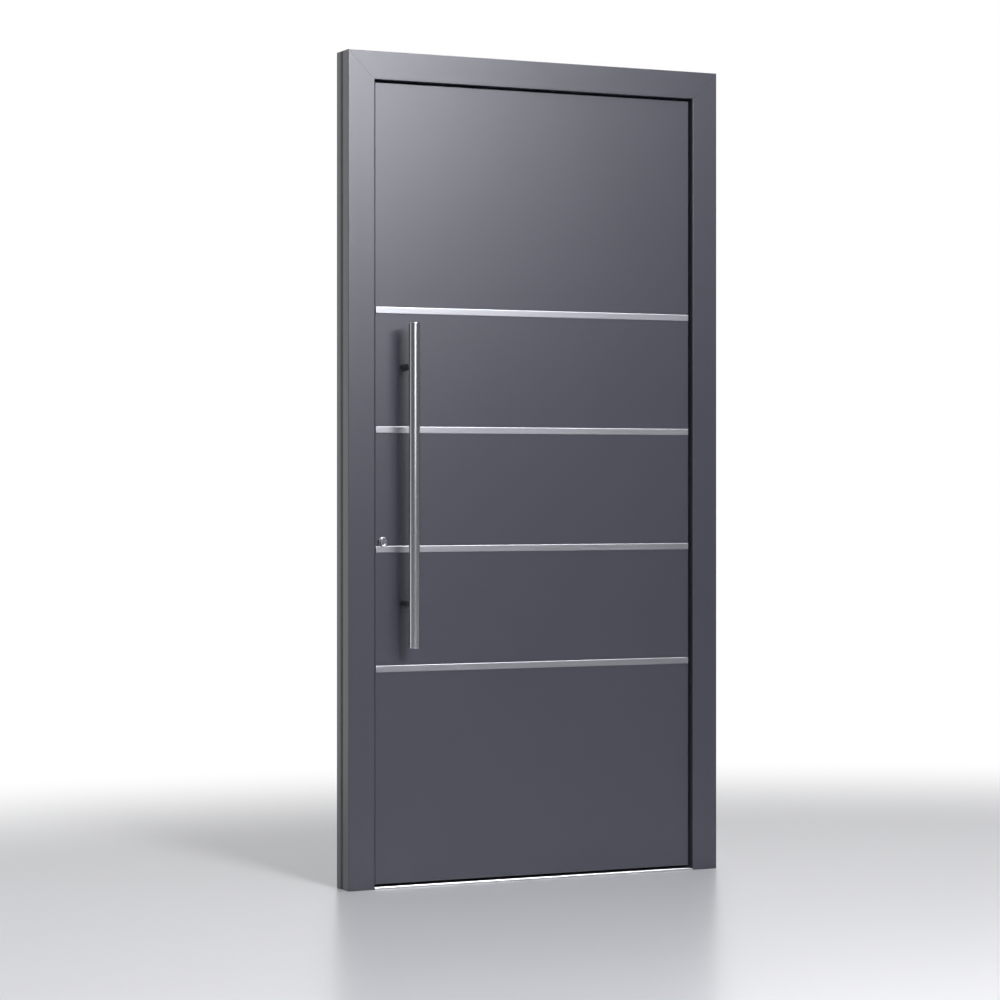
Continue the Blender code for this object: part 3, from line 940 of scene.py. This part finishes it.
def hinges():
    """Rounded halves with domed caps, washers between them, and screws in their flags."""
    for number in HINGES:
        ease(f"hinge_{number}_frame", "frame", "hinge_steel", HINGE_ROUNDING)
        ease(f"hinge_{number}_leaf", "leaf", "hinge_steel", HINGE_ROUNDING)
    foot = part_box("hinge_1_frame")[0]
    low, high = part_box("hinge_1_leaf")
    pitch = (0, 0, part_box("hinge_2_frame")[0].z - foot.z)
    axis = leaf_axis()
    none = (0, 0, 0)
    for name, body, level, sign in (
        ("hinge_caps_top", "leaf", high.z, 1), ("hinge_caps_foot", "frame", foot.z, -1),
    ):
        profile = [(radius, sign * rise) for radius, rise in HINGE_DOME]
        data = rounded("cap", turned(profile, Vector(), "Z", SMALL_SIDES), HINGE_CAP_ROUNDING)
        in_rows(name, data, body, "hinge_steel", (axis.x, axis.y, level), none, 1, pitch, len(HINGES))
    rim = BARREL_RADIUS + WASHER_RIM
    profile = ((WASHER_BORE, 0), (rim, 0), (rim, WASHER_THICKNESS), (WASHER_BORE, WASHER_THICKNESS))
    data = plain_mesh("washer", turned(profile, Vector(), "Z", SMALL_SIDES, ring=True))
    start = (axis.x, axis.y, low.z - WASHER_DROP)
    in_rows("hinge_washers", data, "frame", "plastic", start, none, 1, pitch, len(HINGES))
    for name, body, sign, middle in (
        ("hinge_screws_frame", "frame", 1, (foot.z + low.z) / 2),
        ("hinge_screws_leaf", "leaf", -1, (low.z + high.z) / 2),
    ):
        low_screw = middle - HINGE_SCREW_PITCH / 2
        start = (axis.x + sign * HINGE_SCREW_REACH, foot.y + FLAG_THICKNESS, low_screw)
        in_rows(
            name, screw(HINGE_SCREW, (0, 1, 0)), body, "hinge_steel",
            start, (0, 0, HINGE_SCREW_PITCH), 2, pitch, len(HINGES))


def leaf_axis():
    """Where the leaf's hinge axis stands."""
    for joint in frame["record"]["behaviour"]["joints"]:
        if joint["name"] == "leaf_hinge":
            return Vector(joint["pos_m"])
    raise ValueError("the leaf's hinge isn't in the record")


def dress():
    frame_bars()
    frame_lips()
    anchor_caps()
    sill()
    lock_ring()
    key_plug()
    lock_edge()
    leaf_sheets()
    strips()
    bottom_lips()
    pull_bar()
    post_screws()
    rosettes()
    lever()
    ease("thumb_turn", "leaf", "lock_steel", TURN_ROUNDING)
    hinges()


# Studio

def from_front(azimuth, elevation):
    """A point at that angle in front of the door's middle."""
    a = radians(azimuth)
    e = radians(elevation)
    return AIM + LAMP_DISTANCE * Vector((sin(a) * cos(e), -cos(a) * cos(e), sin(e)))


def lamp(name, place, towards, width, height, power):
    """A soft lamp at a place, facing in a direction."""
    data = bpy.data.lights.new(name, "AREA")
    data.shape = "RECTANGLE"
    data.size = width
    data.size_y = height
    data.energy = power
    data.color = LIGHT
    made = placed(name, data)
    made.location = place
    made.rotation_euler = towards.to_track_quat("-Z", "Y").to_euler()
    made.visible_camera = False
    return made


def lights():
    """A round key, panels and a ceiling that show only in gloss, and a board at the door's foot."""
    place = from_front(KEY_AZIMUTH, KEY_ELEVATION)
    key = lamp("key", place, AIM - place, KEY_SIZE, KEY_SIZE, KEY_POWER)
    key.data.shape = "DISK"
    place = from_front(PANEL_AZIMUTH, PANEL_ELEVATION)
    panel = lamp("panel", place, AIM - place, PANEL_WIDTH, PANEL_HEIGHT, PANEL_POWER)
    ceiling = lamp("ceiling", TOP_PLACE, Vector((0, 0, -1)), TOP_WIDTH, TOP_DEPTH, TOP_POWER)
    tall = lamp("tall panel", TALL_PLACE, Vector((0, 1, 0)), TALL_WIDTH, TALL_HEIGHT, TALL_POWER)
    place = Vector((0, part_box("sill_front")[0].y - BOUNCE_GAP - BOUNCE_DEPTH / 2, 0))
    board = lamp("foot board", place, Vector((0, 0, 1)), BOUNCE_WIDTH, BOUNCE_DEPTH, BOUNCE_POWER)
    for made in (key, board):
        made.visible_glossy = False
    for made in (panel, ceiling, tall):
        made.visible_diffuse = False


def world():
    """White behind the door for the camera and in metal, and a soft grey room round it."""
    made = bpy.data.worlds.new("studio")
    bpy.context.scene.world = made
    made.use_nodes = True
    n = Nodes(made.node_tree)
    n.tree.nodes.clear()
    path = n.add("ShaderNodeLightPath")
    around = n.add("ShaderNodeTexCoord").outputs["Generated"]
    white = n.add("ShaderNodeBackground")
    n.feed(white.inputs["Color"], WHITE)
    white.inputs["Strength"].default_value = 1.0
    room = n.add("ShaderNodeBackground")
    n.feed(room.inputs["Color"], ROOM)
    gloss = path.outputs["Is Glossy Ray"]
    level = n.math("MULTIPLY_ADD", gloss, ROOM_GLOSS - ROOM_LIGHT, ROOM_LIGHT)
    n.link(level, room.inputs["Strength"])
    share = n.shows_white(path, n.ramp(n.depth(around), ROOM_BEHIND))
    n.link(n.mix(share, room, white), n.add("ShaderNodeOutputWorld").inputs["Surface"])


def floor():
    """A pale round floor that fades to white at its edge."""
    shape = bmesh.new()
    bmesh.ops.create_circle(shape, cap_ends=True, segments=SIDES, radius=FLOOR_RADIUS)
    made = placed("floor", plain_mesh("floor", shape))
    made.location.z = CAD_BOX[0][2] - FLOOR_DROP
    n = Finish("studio floor")
    n.set(color=FLOOR, roughness=FLOOR_ROUGHNESS)
    place = n.where()
    away = n.add("ShaderNodeVectorMath", operation="DISTANCE")
    n.link(place, away.inputs[0])
    away.inputs[1].default_value = FLOOR_MIDDLE
    fade = n.ramp(away.outputs["Value"], FLOOR_FADE, curve="SMOOTHSTEP")
    path = n.add("ShaderNodeLightPath")
    share = n.math("MULTIPLY", fade, n.shows_white(path, n.ramp(n.depth(place), FLOOR_BEHIND)))
    white = n.add("ShaderNodeEmission")
    n.feed(white.inputs["Color"], WHITE)
    n.link(n.mix(share, n.shader, white), n.tree.nodes["Material Output"].inputs["Surface"])
    made.data.materials.append(n.material)


def camera():
    data = bpy.data.cameras.new("camera")
    data.lens = CAMERA_LENS
    data.sensor_width = CAMERA_SENSOR
    data.shift_y = CAMERA_SHIFT
    made = placed("camera", data)
    made.location = CAMERA_PLACE
    made.rotation_euler = (radians(90), 0, radians(-CAMERA_TURN))
    bpy.context.scene.camera = made


def main():
    bpy.context.scene.view_settings.view_transform = "Standard"
    camera()
    lights()
    world()
    floor()
    paint_nodes()
    dress()


main()
